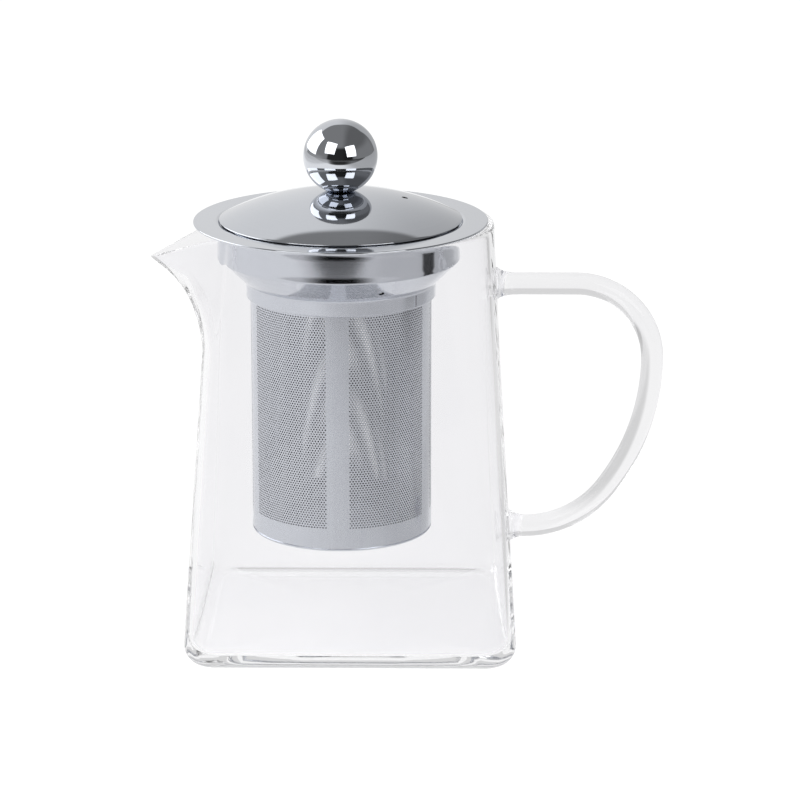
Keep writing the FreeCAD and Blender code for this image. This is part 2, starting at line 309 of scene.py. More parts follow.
@dataclass(frozen=True)
class SteelFinish:
    """Stainless steel with the marks of its making.

    A bore above 0 is the radius of an inner face, which takes a painted shade: a darker colour that stands
    in for the shade inside.
    """

    name: str
    roughness: float
    marks: Marks = Marks.TURNED
    colour: Colour = (0.635, 0.655, 0.695)
    dull: Colour = (0.585, 0.605, 0.645)
    least_roughness: float = 0.02
    mark_spacing: float = 0.35
    mark_detail: float = 3.0
    mark_strength: float = 0.05
    mark_depth: float = 0.01
    mark_spread: float = 0.06
    mark_share: float = 0.4
    mark_rise: float = 1.3
    drawn_radius: float = 24.0
    smudge_size: float = 16.0
    smudge_detail: float = 3.0
    smudge_spread: float = 0.05
    smudge_share: float = 0.6
    axis: float = 0.0
    bore: float = 0.0
    inner_shade_skin: Span = (0.02, 0.2)
    inner_shade_colour: Colour = (0.2, 0.2, 0.21)

    def material(self) -> bpy.types.Material:
        """Builds the material.

        Returns:
            The material.
        """
        material, shader = fresh_material(self.name)
        place = shader.place()
        across, deep, up = shader.parts(place)
        across = across - self.axis * MM
        reach = (across * across + deep * deep) ** 0.5
        if self.marks is Marks.TURNED:
            along = reach + up * self.mark_rise
        else:
            along = shader.maths("ARCTAN2", deep, across) * (self.drawn_radius * MM)
        lines = shader.lines(along, self.mark_spacing, self.mark_detail)
        smudge = shader.noise(place, self.smudge_size, self.smudge_detail)
        colour = shader.mixed(smudge * self.smudge_share + lines * self.mark_share, self.dull, self.colour)
        # Painted shade: the inner face of a sleeve is darker, standing in for the shade inside it.
        if self.bore > 0:
            start, end = ((self.bore + skin) * MM for skin in self.inner_shade_skin)
            colour = shader.mixed(shader.ramp(reach, Rise(start, end)), self.inner_shade_colour, colour)
        rough = self.roughness + (lines - 0.5) * self.mark_spread + (smudge - 0.5) * self.smudge_spread
        inputs = {
            "Base Color": colour,
            "Metallic": 1.0,
            "Roughness": shader.maths("MAXIMUM", rough, self.least_roughness),
            "Normal": shader.bump(lines, self.mark_strength, self.mark_depth),
        }
        shader.surface(shader.out(shader.add("ShaderNodeBsdfPrincipled", inputs)))
        return material


# Shaping, with the tools of edit mode


def softened(corners: Sequence[Corner], steps: int = 5) -> Outline:
    """Rounds the corners of a closed outline, with holding rings so that its flats shade flat.

    Args:
        corners: (radius, height, bend radius) of each corner.
        steps: Pieces of each bend.

    Returns:
        The outline's points.
    """
    points: Outline = []
    for index, (radius, height, bend) in enumerate(corners):
        here = Vector((radius, height))
        if bend == 0:
            points.append((radius, height))
            continue
        before = Vector(corners[index - 1][:2]) - here
        after = Vector(corners[(index + 1) % len(corners)][:2]) - here
        half = before.angle(after) / 2
        before.normalize()
        after.normalize()
        middle = here + (before + after).normalized() * (bend / math.sin(half))
        start = here + before * (bend / math.tan(half))
        end = here + after * (bend / math.tan(half))
        points.append(tuple(start + before * HOLD))
        points += swept(middle, start - middle, end - middle, steps)
        points.append(tuple(end + after * HOLD))
    return points


def swept(middle: Vector, start: Vector, end: Vector, steps: int) -> Outline:
    """Draws the shorter arc between two arms.

    Args:
        middle: Where the arms meet.
        start: The first arm, from the middle.
        end: The last arm.
        steps: Pieces of the arc.

    Returns:
        Points on the arc.
    """
    first = math.atan2(start.y, start.x)
    turn = (math.atan2(end.y, end.x) - first + math.pi) % (2 * math.pi) - math.pi
    angles = [first + turn * step / steps for step in range(steps + 1)]
    return [tuple(middle + start.length * Vector((math.cos(a), math.sin(a)))) for a in angles]


def circle_arc(middle: Span, radius: float, first: float, last: float, steps: int) -> Outline:
    """Points on an arc, with its angles in degrees from the outward direction."""
    angles = np.radians(np.linspace(first, last, steps + 1))
    return [(middle[0] + radius * math.cos(a), middle[1] + radius * math.sin(a)) for a in angles]


def ring_place(axis: float, radius: float, angle: float, height: float) -> Vector:
    """A place on a level ring about an upright axis, with its angle in radians."""
    return Vector((axis + radius * math.cos(angle), radius * math.sin(angle), height))


def select_only(piece: bpy.types.Object) -> None:
    """Selects one object alone and makes it active.

    Args:
        piece: The object.
    """
    bpy.ops.object.select_all(action="DESELECT")
    bpy.context.view_layer.objects.active = piece
    piece.select_set(True)


def start_piece(name: str) -> bpy.types.Object:
    """Names the primitive just added and opens it in edit mode with its place in the mesh.

    Args:
        name: The piece's name.

    Returns:
        The piece, with all its points selected.
    """
    piece = bpy.context.object
    piece.name = name
    piece.data.name = name
    bpy.ops.object.transform_apply(location=True, rotation=True, scale=True)
    bpy.ops.object.mode_set(mode="EDIT")
    bpy.ops.mesh.select_mode(type="VERT")
    bpy.ops.mesh.select_all(action="SELECT")
    return piece


def end_piece(piece: bpy.types.Object, crease: float = CREASE) -> bpy.types.Object:
    """Welds a piece, turns its faces outward and shades it smooth up to a crease angle.

    Args:
        piece: The piece, in edit mode.
        crease: Edges sharper than this stay sharp, in degrees.

    Returns:
        The piece, in object mode.
    """
    bpy.ops.mesh.select_all(action="SELECT")
    bpy.ops.mesh.remove_doubles(threshold=WELD)
    bpy.ops.mesh.normals_make_consistent(inside=False)
    bpy.ops.object.mode_set(mode="OBJECT")
    bpy.ops.object.shade_smooth_by_angle(angle=math.radians(crease))
    return piece


def turned(name: str, outline: Outline, axis: float, steps: int) -> bpy.types.Object:
    """Draws a ring out along an outline about an upright axis.

    Args:
        name: The piece's name.
        outline: (radius, height) points. A first or last radius of zero closes that end; an
            outline without them comes back to its start.
        axis: The X of the axis.
        steps: Sides of the ring.

    Returns:
        The piece.
    """
    capped = outline[0][0] == 0
    points = list(outline[1:]) if capped else [*outline, outline[0]]
    radius, height = points[0]
    bpy.ops.object.select_all(action="DESELECT")
    bpy.ops.mesh.primitive_circle_add(
        vertices=steps,
        radius=radius * MM,
        fill_type="TRIFAN" if capped else "NOTHING",
        location=(axis * MM, 0, height * MM),
    )
    piece = start_piece(name)
    if capped:
        bpy.ops.mesh.select_all(action="DESELECT")
        bpy.ops.mesh.select_non_manifold()
    for next_radius, next_height in points[1:]:
        lift = (0, 0, (next_height - height) * MM)
        bpy.ops.mesh.extrude_region_move(TRANSFORM_OT_translate={"value": lift})
        if next_radius == 0:
            bpy.ops.mesh.merge(type="CENTER")
            break
        share = next_radius / radius
        middle = (axis * MM, 0, next_height * MM)
        bpy.ops.transform.resize(value=(share, share, 1), center_override=middle)
        radius, height = next_radius, next_height
    return end_piece(piece)


def draped(name: str, points: np.ndarray, crease: float) -> bpy.types.Object:
    """Lays a grid over rows and columns of points, and welds where they meet.

    Args:
        name: The piece's name.
        points: Places in millimetres, as rows by columns by three.
        crease: Edges sharper than this stay sharp, in degrees.

    Returns:
        The piece.
    """
    rows, columns = points.shape[:2]
    bpy.ops.object.select_all(action="DESELECT")
    bpy.ops.mesh.primitive_grid_add(x_subdivisions=columns - 1, y_subdivisions=rows - 1)
    piece = bpy.context.object
    piece.data.vertices.foreach_set("co", (points * MM).astype(np.float32).ravel())
    start_piece(name)
    return end_piece(piece, crease)


def drill(
    piece: bpy.types.Object, place: Vector, along: Vector, size: float, sides: int, depth: float
) -> None:
    """Makes a hole in a piece.

    Args:
        piece: The piece.
        place: The middle of the hole.
        along: Its direction.
        size: Its diameter.
        sides: Its number of sides.
        depth: How far it reaches in all.
    """
    bpy.ops.object.select_all(action="DESELECT")
    turn = along.to_track_quat("Z", "Y").to_euler()
    bpy.ops.mesh.primitive_cylinder_add(
        vertices=sides, radius=size / 2 * MM, depth=depth * MM, location=place * MM, rotation=turn
    )
    cutter = bpy.context.object
    change = piece.modifiers.new("cut", "BOOLEAN")
    change.object = cutter
    change.solver = "EXACT"
    select_only(piece)
    bpy.ops.object.modifier_apply(modifier=change.name)
    bpy.data.objects.remove(cutter)
    bpy.ops.object.shade_smooth_by_angle(angle=math.radians(CREASE))


def bezier(points: Sequence[np.ndarray], share: np.ndarray) -> np.ndarray:
    """Finds places on a cubic curve, or on many at once.

    Args:
        points: The curve's four points.
        share: How far along it, from 0 to 1.

    Returns:
        The places.
    """
    rest = 1 - share
    weights = (rest ** 3, 3 * share * rest ** 2, 3 * share ** 2 * rest, share ** 3)
    return sum(weight * point for weight, point in zip(weights, points))


# Sub-assemblies


@dataclass
class Assembly:
    """Pieces that move together, by the node that they stand for."""

    body: Body
    pieces: Dict[str, List[bpy.types.Object]] = field(default_factory=dict)

    def keep(self, piece: bpy.types.Object, node: str, slot: Slot) -> None:
        """Ties a piece to the frame.

        Args:
            piece: The piece.
            node: The node that it stands for.
            slot: The record's material slot; not used.
        """
        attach(piece, self.body.value)
        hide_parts(node)
        self.pieces.setdefault(node, []).append(piece)

    def coat(self, node: str, finish: bpy.types.Material) -> None:
        """Gives the pieces of a node their finish.

        Args:
            node: The node.
            finish: The material.
        """
        for piece in self.pieces[node]:
            piece.data.materials.clear()
            piece.data.materials.append(finish)


@dataclass
class Skin:
    """One face of the glass wall: the outside or the inside."""

    inset: float
    floor: float
    edge: float
    dish: float
    lip: Sequence[Span]
    keel: Sequence[Span]


@dataclass
class GlassPot(Assembly):
    """The blown pot with its beak, and the rod handle."""

    body: Body = Body.POT
    foot_half: float = 45.2
    foot_corner: float = 9.0
    rim_height: float = 113.8
    neck_radius: float = 38.6
    side_angle: float = 10.0
    beak_start: float = 80.0
    beak_angle: float = 30.0
    beak_reach: float = 55.2
    tip_height: float = 104.2
    lip_slope: float = 23.5
    lip_ease: float = 0.8
    lip_points: int = 400
    outside: Skin = field(default_factory=lambda: Skin(
        inset=0.0, floor=0.0, edge=5.5, dish=0.9,
        lip=((-33.43, 19.3), (-37.9, 11.5), (-47.5, 7.8), (-55.2, 0.0)),
        keel=((-39.9, 90.0), (-47.3, 96.3), (-55.2, 102.6)),
    ))
    inside: Skin = field(default_factory=lambda: Skin(
        inset=2.2, floor=3.4, edge=4.0, dish=0.0,
        lip=((-31.52, 18.2), (-35.7, 10.6), (-45.0, 6.4), (-53.5, 0.0)),
        keel=((-37.7, 91.0), (-44.8, 97.8), (-53.5, 103.4)),
    ))
    wide_end: float = 150.0
    wide_step: float = 1.5
    beak_columns: Sequence[Tuple[float, float, int]] = ((150, 173, 24), (173.5, 186.5, 27), (187, 210, 24))
    floor_shares: Sequence[float] = (0, 0.1, 0.25, 0.4, 0.55, 0.7, 0.82, 0.91, 0.97)
    edge_rings: int = 13
    wall_rings: int = 26
    beak_rings: int = 40
    bead_rings: int = 9
    pot_crease: float = 60.0
    rod_radius: float = 3.0
    rod_sides: int = 40
    rod_crease: float = 50.0
    rod_index: float = 1.3
    handle_top: float = 96.6
    handle_low: float = 27.5
    handle_reach: float = 82.1
    upper_bend: float = 21.0
    grip_radius: float = 61.5
    grip_turn: float = 37.0
    bend_steps: Tuple[int, int, int] = (28, 24, 22)
    weld_flare: float = 1.5
    weld_length: float = 1.5
    weld_gaps: Sequence[float] = (-1.0, 0.0, 0.25, 0.55, 0.9, 1.4, 2.1, 3.0, 4.2, 6.0)

    def half_width(self, height: float) -> float:
        """Half the pot's width at a height."""
        share = height / self.rim_height
        return self.foot_half * (1 - share) + self.neck_radius * share

    def columns(self) -> np.ndarray:
        """The directions round the pot at which it is drawn, in degrees, closer at the beak."""
        wide = np.arange(-self.wide_end, self.wide_end, self.wide_step)
        return np.concatenate([wide, *[np.linspace(*span) for span in self.beak_columns]])

    def off_beak(self, around: np.ndarray) -> np.ndarray:
        """The turn from the middle of the beak to each direction, in degrees."""
        return around % 360 - 180

    def section(self, around: np.ndarray, height: float, inset: float, edge: float = 0.0) -> np.ndarray:
        """Draws a level ring of the pot's form, from a rounded square at the foot to a round neck.

        Args:
            around: Directions, in degrees.
            height: Its height.
            inset: How far inside the outer form it lies.
            edge: A further inset, at the foot alone.

        Returns:
            The ring's places.
        """
        quarter = np.round(around / 90)
        local = around - 90 * quarter
        size = np.abs(local)
        half = self.foot_half - inset - edge
        corner = self.foot_corner - inset - edge
        straight = half - corner
        bend = np.radians((size - self.side_angle) / (45 - self.side_angle) * 45)
        flat = size <= self.side_angle
        x = np.where(flat, half, straight + corner * np.cos(bend))
        y = np.where(flat, size / self.side_angle * straight, straight + corner * np.sin(bend))
        y = y * np.sign(local)
        turn = np.radians(90 * quarter)
        foot = np.stack([x * np.cos(turn) - y * np.sin(turn), x * np.sin(turn) + y * np.cos(turn)], 1)
        share = height / self.rim_height
        plan = foot * (1 - share) + self.neck(around, inset) * share
        return np.column_stack([plan, np.full(len(around), height)])

    def neck(self, around: np.ndarray, inset: float) -> np.ndarray:
        """The round of the neck in plan."""
        turn = np.radians(around)
        return (self.neck_radius - inset) * np.stack([np.cos(turn), np.sin(turn)], 1)

    def lip(self, around: np.ndarray, skin: Skin) -> np.ndarray:
        """Draws the top of the wall: a level rim that dips along the beak to its tip.

        Args:
            around: Directions of the columns.
            skin: The face of the wall.

        Returns:
            The lip's places.
        """
        plan = self.neck(around, skin.inset)
        fine = np.linspace(0, 1, self.lip_points)[:, None]
        curve = bezier([np.array(p) for p in skin.lip], fine)[::-1]
        run = np.concatenate([[0], np.cumsum(np.linalg.norm(np.diff(curve, axis=0), axis=1))])
        off = self.off_beak(around)
        near = np.abs(off) < self.beak_angle
        along = np.abs(off[near]) / self.beak_angle * run[-1]
        plan[near, 0] = np.interp(along, run, curve[:, 0])
        plan[near, 1] = np.interp(along, run, curve[:, 1]) * -np.sign(off[near])
        slope = math.tan(math.radians(self.lip_slope))
        dip = (self.rim_height - self.tip_height) - slope * (self.beak_reach + plan[:, 0])
        dip = np.where(near, (dip + np.sqrt(dip ** 2 + self.lip_ease ** 2)) / 2, 0)
        return np.column_stack([plan, self.rim_height - dip])

    def rise(self, around: np.ndarray, skin: Skin, lip: np.ndarray, below: np.ndarray) -> np.ndarray:
        """Draws the upper wall, which leans out into the beak.

        Args:
            around: Directions of the columns.
            skin: The face of the wall.
            lip: The top of the wall.
            below: How far under the lip the wall's face ends.

        Returns:
            Rings from the start of the beak to just under the lip.
        """
        start = self.section(around, self.beak_start, skin.inset)
        lean = self.section(around, self.rim_height, skin.inset) - start
        lean /= np.linalg.norm(lean, axis=1)[:, None]
        off = np.abs(self.off_beak(around)) / self.beak_angle
        wall = 1 - np.clip(1 - off, 0, 1)[:, None] ** 3
        (_, near_z), (far_x, far_z), (tip_x, tip_z) = skin.keel
        tip_way = np.array([tip_x - far_x, 0, tip_z - far_z])
        tip_run = np.linalg.norm(tip_way)
        way = tip_way / tip_run * (1 - wall) + lean * wall
        way /= np.linalg.norm(way, axis=1)[:, None]
        end = lip - way * below[:, None]
        third = np.linalg.norm(end - start, axis=1)[:, None] / 3
        near_run = (near_z - self.beak_start) * (1 - wall) + third * wall
        far_run = tip_run * (1 - wall) + third * wall
        points = [start, start + lean * near_run, end - way * far_run, end]
        return np.stack([bezier(points, share) for share in np.linspace(0, 1, self.beak_rings)])

    def face(self, around: np.ndarray, skin: Skin, lip: np.ndarray, below: np.ndarray) -> List[np.ndarray]:
        """Draws all rings of one face of the glass, from the middle of the floor to the lip.

        Args:
            around: Directions of the columns.
            skin: The face of the wall.
            lip: The top of the wall.
            below: How far under the lip the wall's face ends.

        Returns:
            The rings.
        """
        rings = []
        base = self.section(around, skin.floor, skin.inset, skin.edge)
        for share in self.floor_shares:
            ring = base * share
            ring[:, 2] = skin.floor + skin.dish * (1 - share ** 4)
            rings.append(ring)
        for turn in np.radians(np.linspace(0, 90, self.edge_rings)):
            height = skin.floor + skin.edge * (1 - math.cos(turn))
            rings.append(self.section(around, height, skin.inset, skin.edge * (1 - math.sin(turn))))
        for height in np.linspace(skin.floor + skin.edge, self.beak_start, self.wall_rings)[1:-1]:
            rings.append(self.section(around, height, skin.inset))
        return rings + list(self.rise(around, skin, lip, below))

    def build_glass(self) -> bpy.types.Object:
        """Draws the pot's outside and inside, and rounds the lip between them.

        Returns:
            The piece.
        """
        around = self.columns()
        outer = self.lip(around, self.outside)
        inner = self.lip(around, self.inside)
        half = np.linalg.norm((outer - inner)[:, :2], axis=1) / 2
        outer[:, 2] = np.minimum(outer[:, 2], self.rim_height)
        inner[:, 2] = outer[:, 2]
        outside = self.face(around, self.outside, outer, half)
        inside = self.face(around, self.inside, inner, half)
        middle = (outside[-1] + inside[-1]) / 2
        arm = (outside[-1] - inside[-1]) / 2
        up = outside[-1] - outside[-2] + inside[-1] - inside[-2]
        up /= np.linalg.norm(up, axis=1)[:, None]
        bead = [
            middle + arm * math.cos(turn) + up * (half * math.sin(turn))[:, None]
            for turn in np.radians(np.linspace(0, 180, self.bead_rings))[1:-1]
        ]
        rings = np.stack(outside + bead + inside[::-1])
        closed = np.concatenate([rings, rings[:, :1]], axis=1)
        return draped("pot_glass", closed, self.pot_crease)

    def flare(self, gap: float) -> float:
        """The rod's radius at a distance from the wall that it is welded to."""
        return self.rod_radius + self.weld_flare * math.exp(-max(gap, 0) / self.weld_length)

    def stretch(self, gaps: Sequence[float], toward: float) -> None:
        """Draws the rod's end ring along X through its flare.

        Args:
            gaps: Distances from the wall, in order; the ring stands at the first.
            toward: 1 to draw to +X, -1 to -X.
        """
        for gap, next_gap in zip(gaps, gaps[1:]):
            step = abs(next_gap - gap) * toward * MM
            bpy.ops.mesh.extrude_region_move(TRANSFORM_OT_translate={"value": (step, 0, 0)})
            share = self.flare(next_gap) / self.flare(gap)
            bpy.ops.transform.resize(value=(1, share, share))

    def bend(self, x: float, z: float, angle: float, steps: int) -> None:
        """Spins the rod's end ring about a level axis."""
        middle = (x * MM, 0, z * MM)
        bpy.ops.mesh.spin(steps=steps, angle=math.radians(angle), center=middle, axis=(0, -1, 0))

    def build_handle(self) -> bpy.types.Object:
        """Bends the rod: out from the neck, round the grip and back to the side of the pot.

        Returns:
            The piece.
        """
        gaps = self.weld_gaps
        root = self.half_width(self.handle_top)
        bpy.ops.object.select_all(action="DESELECT")
        bpy.ops.mesh.primitive_circle_add(
            vertices=self.rod_sides,
            radius=self.flare(gaps[0]) * MM,
            location=((root + gaps[0]) * MM, 0, self.handle_top * MM),
            rotation=(0, math.pi / 2, 0),
        )
        piece = start_piece("handle_rod")
        self.stretch(gaps, 1)
        bend_x = self.handle_reach - self.upper_bend
        straight = (bend_x - root - gaps[-1]) * MM
        bpy.ops.mesh.extrude_region_move(TRANSFORM_OT_translate={"value": (straight, 0, 0)})
        bend_z = self.handle_top - self.upper_bend
        grip_x = self.handle_reach - self.grip_radius
        upper_steps, grip_steps, low_steps = self.bend_steps
        self.bend(bend_x, bend_z, 90, upper_steps)
        self.bend(grip_x, bend_z, self.grip_turn, grip_steps)
        turn = math.radians(self.grip_turn)
        end_x = grip_x + self.grip_radius * math.cos(turn)
        end_z = bend_z - self.grip_radius * math.sin(turn)
        low_bend = (end_z - self.handle_low) / (1 - math.sin(turn))
        low_x = end_x - low_bend * math.cos(turn)
        self.bend(low_x, self.handle_low + low_bend, 90 - self.grip_turn, low_steps)
        low_gap = low_x - self.half_width(self.handle_low)
        self.stretch([low_gap, *[gap for gap in gaps[::-1] if gap < low_gap]], -1)
        bpy.ops.mesh.select_all(action="SELECT")
        bpy.ops.mesh.fill_holes(sides=0)
        return end_piece(piece, self.rod_crease)

    def build(self) -> None:
        """Makes the pot and its handle."""
        self.keep(self.build_glass(), "glass_body", Slot.GLASS)
        self.keep(self.build_handle(), "glass_handle", Slot.GLASS)

    def dress(self) -> None:
        """Gives both their glass, and lets lamps reach the steel through it."""
        self.coat("glass_body", GlassFinish("pot_glass_clear").material())
        self.coat("glass_handle", GlassFinish("rod_glass_clear", index=self.rod_index).material())
        for pieces in self.pieces.values():
            for piece in pieces:
                piece.visible_shadow = False


@dataclass
class FlatSheet:
    """Faces laid out on a flat sheet, in millimetres, before it is rolled up."""

    places: List[np.ndarray] = field(default_factory=list)
    links: List[Face] = field(default_factory=list)
    count: int = 0

    def add(self, corners: np.ndarray, faces: Sequence[Face]) -> None:
        """Lays out faces.

        Args:
            corners: Places on the sheet.
            faces: The corners of each face, by number.
        """
        self.places.append(corners)
        self.links += [tuple(self.count + index for index in face) for face in faces]
        self.count += len(corners)

    def add_plain(self, left: float, right: float, low: float, high: float) -> None:
        """Lays out a rectangle."""
        corners = np.array([(left, low), (right, low), (right, high), (left, high)])
        self.add(corners, [(0, 1, 2, 3)])

    def rolled(self, name: str, radius: float, thickness: float, crease: float) -> bpy.types.Object:
        """Rolls the sheet about the Z axis, welds it and gives it its thickness, inwards.

        Args:
            name: The piece's name.
            radius: The outer radius.
            thickness: The sheet's thickness.
            crease: Edges sharper than this stay sharp, in degrees.

        Returns:
            The piece.
        """
        flat = np.concatenate(self.places)
        angle = flat[:, 0] / radius
        tube = np.column_stack([np.cos(angle) * radius, np.sin(angle) * radius, flat[:, 1]])
        mesh = bpy.data.meshes.new(name)
        mesh.from_pydata((tube * MM).tolist(), [], self.links)
        piece = bpy.data.objects.new(name, mesh)
        bpy.context.scene.collection.objects.link(piece)
        select_only(piece)
        bpy.ops.object.mode_set(mode="EDIT")
        bpy.ops.mesh.select_all(action="SELECT")
        bpy.ops.mesh.remove_doubles(threshold=WELD)
        bpy.ops.object.mode_set(mode="OBJECT")
        thick = piece.modifiers.new("sheet", "SOLIDIFY")
        thick.thickness = thickness * MM
        thick.offset = -1
        bpy.ops.object.modifier_apply(modifier=thick.name)
        bpy.ops.object.mode_set(mode="EDIT")
        return end_piece(piece, crease)


@dataclass(frozen=True)
class FieldPlan:
    """How one perforated field is laid out: its half width, its holes and the strip beside it."""

    half: float
    pitch: float
    rows: int
    row: float
    strip: List[float]


@dataclass
class Strainer(Assembly):
    """The collar, the perforated sleeve and its bottom."""

    body: Body = Body.STRAINER
    sheet: float = 0.6
    flange_round: float = 0.28
    well_radius: float = 31.8
    well_bend: float = 2.1
    well_depth: float = 10.0
    fold_bend: float = 1.4
    outer_fold_bend: float = 0.4
    wall_flare: Sequence[float] = (0.0, 0.0, 0.008, 0.028, 0.053)
    flare_step: float = 0.4
    flare_low: float = 2.0
    flare_high: float = 3.7
    socket_inner: float = 24.75
    socket_outer: float = 25.85
    socket_bends: Span = (0.8, 0.9)
    socket_round: Span = (0.2, 0.35)
    bend_steps: int = 6
    collar_sides: int = 192
    collar_roughness: float = 0.07
    drain_size: float = 1.5
    drain_sides: int = 20
    drain_depth: float = 5.0
    drain_angle: float = -66.0
    drain_radius: float = 28.1
    sleeve_radius: float = 24.7
    sleeve_sheet: float = 0.3
    sleeve_crease: float = 40.0
    sleeve_roughness: float = 0.2
    field_count: int = 5
    strip_angle: float = 13.6
    strip_shares: Sequence[float] = (0, 0.25, 0.5, 0.75, 1)
    front_angle: float = -90.8
    hole_columns: int = 32
    hole_share: float = 0.6
    row_share: float = 0.835
    field_bottom: float = 34.1
    field_top: float = 93.1
    levels_below: int = 5
    levels_above: int = 4
    plate_sheet: float = 0.9
    plate_bend: float = 0.4
    plate_rings: Sequence[float] = (4, 14, 22.5)
    plate_sides: int = 144
    seam_height: float = 0.35
    seam_depth: float = 0.25
    spigot_gap: float = 0.15
    spigot_chamfer: float = 0.15
    spigot_fillet: Span = (0.6, 0.2)

    def wall(self, radius: float, low: float, high: float) -> List[Corner]:
        """Draws the outside of the well, which flares a little at both ends.

        Args:
            radius: Its radius.
            low: The height of its fold.
            high: The height of the flange's underside.

        Returns:
            Corners from the fold upwards, without bends.
        """
        lower: List[Corner] = []
        upper: List[Corner] = []
        for step, flare in enumerate(self.wall_flare):
            lower.append((radius + flare, low + self.flare_low - self.flare_step * step, 0))
            upper.append((radius - flare, high - self.flare_high + self.flare_step * step, 0))
        return lower[::-1] + upper

    def build_collar(self, box: Room) -> bpy.types.Object:
        """Turns the collar: flange, well, funnel and socket, and drills its drain hole.

        Args:
            box: The collar's box.

        Returns:
            The piece.
        """
        top, bottom, edge = box.high.z, box.low.z, box.radius
        under = top - self.sheet
        outer_well = self.well_radius + self.sheet
        fold = top - self.well_depth
        # The funnel leans by 45 degrees, so the sheet's fold is mitred at half of that.
        outer_fold = fold - self.sheet * math.tan(math.radians(45 / 2))
        outline = softened([
            (edge, under, self.flange_round),
            (edge, top, self.flange_round),
            (self.well_radius, top, self.well_bend),
            (self.well_radius, fold, self.fold_bend),
            (self.socket_inner, fold - (self.well_radius - self.socket_inner), self.socket_bends[0]),
            (self.socket_inner, bottom, self.socket_round[0]),
            (self.socket_outer, bottom, self.socket_round[1]),
            (self.socket_outer, outer_fold - (outer_well - self.socket_outer), self.socket_bends[1]),
            (outer_well + self.wall_flare[-1], outer_fold, self.outer_fold_bend),
            *self.wall(outer_well, outer_fold, under),
            (outer_well - self.wall_flare[-1], under, self.well_bend - self.sheet),
        ], self.bend_steps)
        piece = turned("collar_sheet", outline, box.axis, self.collar_sides)
        side = math.radians(self.drain_angle)
        slope = math.sqrt(0.5)
        along = Vector((math.cos(side) * slope, math.sin(side) * slope, -slope))
        height = (fold + outer_fold) / 2 - (self.well_radius + outer_well) / 2 + self.drain_radius
        place = ring_place(box.axis, self.drain_radius, side, height)
        drill(piece, place, along, self.drain_size, self.drain_sides, self.drain_depth)
        return piece

    def cell(self, plan: FieldPlan) -> Tuple[np.ndarray, List[Face]]:
        """Draws a brick with a six-sided hole.

        Args:
            plan: The field's layout.

        Returns:
            Its corners and its faces.
        """
        outer = [(-0.5, -0.5), (0, -0.5), (0.5, -0.5), (0.5, 0.5), (0, 0.5), (-0.5, 0.5)]
        hole = self.hole_share * plan.pitch / 2
        corners = [(x * plan.pitch, z * plan.row) for x, z in outer]
        for angle in np.radians((210, 270, 330, 30, 90, 150)):
            corners.append((hole * math.cos(angle), hole * math.sin(angle)))
        faces = [(i, (i + 1) % 6, 6 + (i + 1) % 6, 6 + i) for i in range(6)]
        return np.array(corners), faces

    def plan(self) -> FieldPlan:
        """Lays out one field.

        Returns:
            The layout.
        """
        width = math.radians(360 / self.field_count - self.strip_angle) * self.sleeve_radius
        strip = math.radians(self.strip_angle / 2) * self.sleeve_radius
        pitch = width / self.hole_columns
        height = self.field_top - self.field_bottom
        rows = round(height / (pitch * self.row_share))
        sides = [width / 2 + strip * share for share in self.strip_shares]
        return FieldPlan(width / 2, pitch, rows, height / rows, sides)

    def pierce(self, sheet: FlatSheet, plan: FieldPlan) -> None:
        """Stamps the holes, every second row one hole shorter, with plain sheet at its ends.

        Args:
            sheet: The sheet.
            plan: The field's layout.
        """
        corners, faces = self.cell(plan)
        for level in range(plan.rows):
            holes = self.hole_columns - level % 2
            height = self.field_bottom + plan.row * (level + 0.5)
            for column in range(holes):
                sheet.add(corners + ((column - (holes - 1) / 2) * plan.pitch, height), faces)
        for level in range(plan.rows):
            low = self.field_bottom + plan.row * level
            high = self.field_bottom + plan.row * (level + 1)
            edges = [plan.half - plan.pitch / 2] if level % 2 else []
            edges += plan.strip
            for edge, next_edge in zip(edges, edges[1:]):
                sheet.add_plain(edge, next_edge, low, high)
                sheet.add_plain(-next_edge, -edge, low, high)

    def border(self, sheet: FlatSheet, plan: FieldPlan, box: Room) -> None:
        """Lays the plain bands below and above the holes.

        Args:
            sheet: The sheet.
            plan: The field's layout.
            box: The sleeve's box.
        """
        inner = [-plan.half + plan.pitch / 2 * i for i in range(2 * self.hole_columns + 1)]
        across = [-side for side in plan.strip[:0:-1]] + inner + plan.strip[1:]
        below = np.linspace(box.low.z, self.field_bottom, self.levels_below)
        above = np.linspace(self.field_top, box.high.z, self.levels_above)
        for band in (below, above):
            for low, high in zip(band, band[1:]):
                for left, right in zip(across, across[1:]):
                    sheet.add_plain(left, right, low, high)

    def build_fields(self, box: Room) -> List[bpy.types.Object]:
        """Makes one perforated field and copies it round the sleeve.

        Args:
            box: The sleeve's box.

        Returns:
            The pieces.
        """
        plan = self.plan()
        sheet = FlatSheet()
        self.pierce(sheet, plan)
        self.border(sheet, plan, box)
        first = sheet.rolled("sleeve_field", self.sleeve_radius, self.sleeve_sheet, self.sleeve_crease)
        shift = Matrix.Translation((box.axis * MM, 0, 0))
        pieces = []
        for index in range(self.field_count):
            piece = first.copy()
            piece.data = first.data.copy()
            piece.name = piece.data.name = f"sleeve_field_{index + 1}"
            bpy.context.scene.collection.objects.link(piece)
            turn = math.radians(self.front_angle + 360 / self.field_count * (index + 0.5))
            piece.data.transform(shift @ Matrix.Rotation(turn, 4, "Z"))
            pieces.append(piece)
        bpy.data.objects.remove(first)
        return pieces

